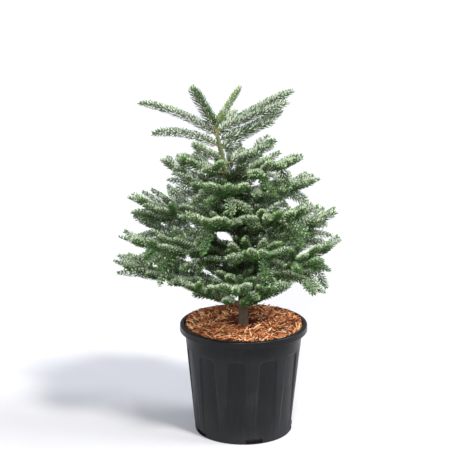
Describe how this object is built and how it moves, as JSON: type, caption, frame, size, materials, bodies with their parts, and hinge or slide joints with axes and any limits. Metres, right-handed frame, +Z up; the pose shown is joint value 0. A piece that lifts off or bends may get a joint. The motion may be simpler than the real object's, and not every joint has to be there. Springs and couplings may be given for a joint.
{
  "type": "potted korean fir",
  "caption": "Young evergreen conifer with whorls of needled boughs round a leaning stem, in a ribbed plastic nursery pot topped with bark mulch.",
  "frame": {"origin": "centre of the pot's flat underside, on the ground", "axes": "+Z up; -Y is the side seen from the front, +X to the right; the stem leans towards -X"},
  "size_m": [0.5056, 0.4702, 0.806],
  "materials": {
    "nursery_plastic": "dark grey-black moulded plastic, slightly glossy and dusty",
    "potting_soil": "dark moist peat and bark compost",
    "mulch": "loose orange to red-brown bark chips",
    "bark": "grey-brown bark, tan on the young top",
    "branch_bark": "tan-brown young bark",
    "needles": "dark green needles, silvery white beneath"
  },
  "bodies": {
    "root": {"pot": "nursery_plastic", "growing_soil": "potting_soil", "bark_mulch": "mulch", "trunk": "bark", "bough_low_right": "branch_bark", "bough_low_back": "branch_bark", "bough_low_left": "branch_bark", "bough_low_front_left": "branch_bark", "bough_low_front_right": "branch_bark", "bough_wide_right": "branch_bark", "bough_wide_back_right": "branch_bark", "bough_wide_back_left": "branch_bark", "bough_wide_left": "branch_bark", "bough_wide_front": "branch_bark", "bough_middle_right": "branch_bark", "bough_middle_back": "branch_bark", "bough_middle_back_left": "branch_bark", "bough_middle_front_left": "branch_bark", "bough_middle_front_right": "branch_bark", "bough_upper_back_right": "branch_bark", "bough_upper_back": "branch_bark", "bough_upper_left": "branch_bark", "bough_upper_front": "branch_bark", "bough_upper_front_right": "branch_bark", "foliage_low_right": "needles", "foliage_low_back": "needles", "foliage_low_left": "needles", "foliage_low_front_left": "needles", "foliage_low_front_right": "needles", "foliage_wide_right": "needles", "foliage_wide_back_right": "needles", "foliage_wide_back_left": "needles", "foliage_wide_left": "needles", "foliage_wide_front": "needles", "foliage_middle_right": "needles", "foliage_middle_back": "needles", "foliage_middle_back_left": "needles", "foliage_middle_front_left": "needles", "foliage_middle_front_right": "needles", "foliage_upper_back_right": "needles", "foliage_upper_back": "needles", "foliage_upper_left": "needles", "foliage_upper_front": "needles", "foliage_upper_front_right": "needles", "foliage_high_right": "needles", "foliage_high_back": "needles", "foliage_high_left": "needles", "foliage_high_front": "needles", "foliage_crest_right": "needles", "foliage_crest_back_right": "needles", "foliage_crest_back_left": "needles", "foliage_crest_left": "needles", "foliage_crest_front": "needles", "foliage_top_left_low": "needles", "foliage_top_right_low": "needles", "foliage_top_left": "needles", "foliage_top_left_steep": "needles", "foliage_top_right": "needles", "foliage_top_back": "needles", "foliage_leader": "needles"}
  },
  "joints": []
}
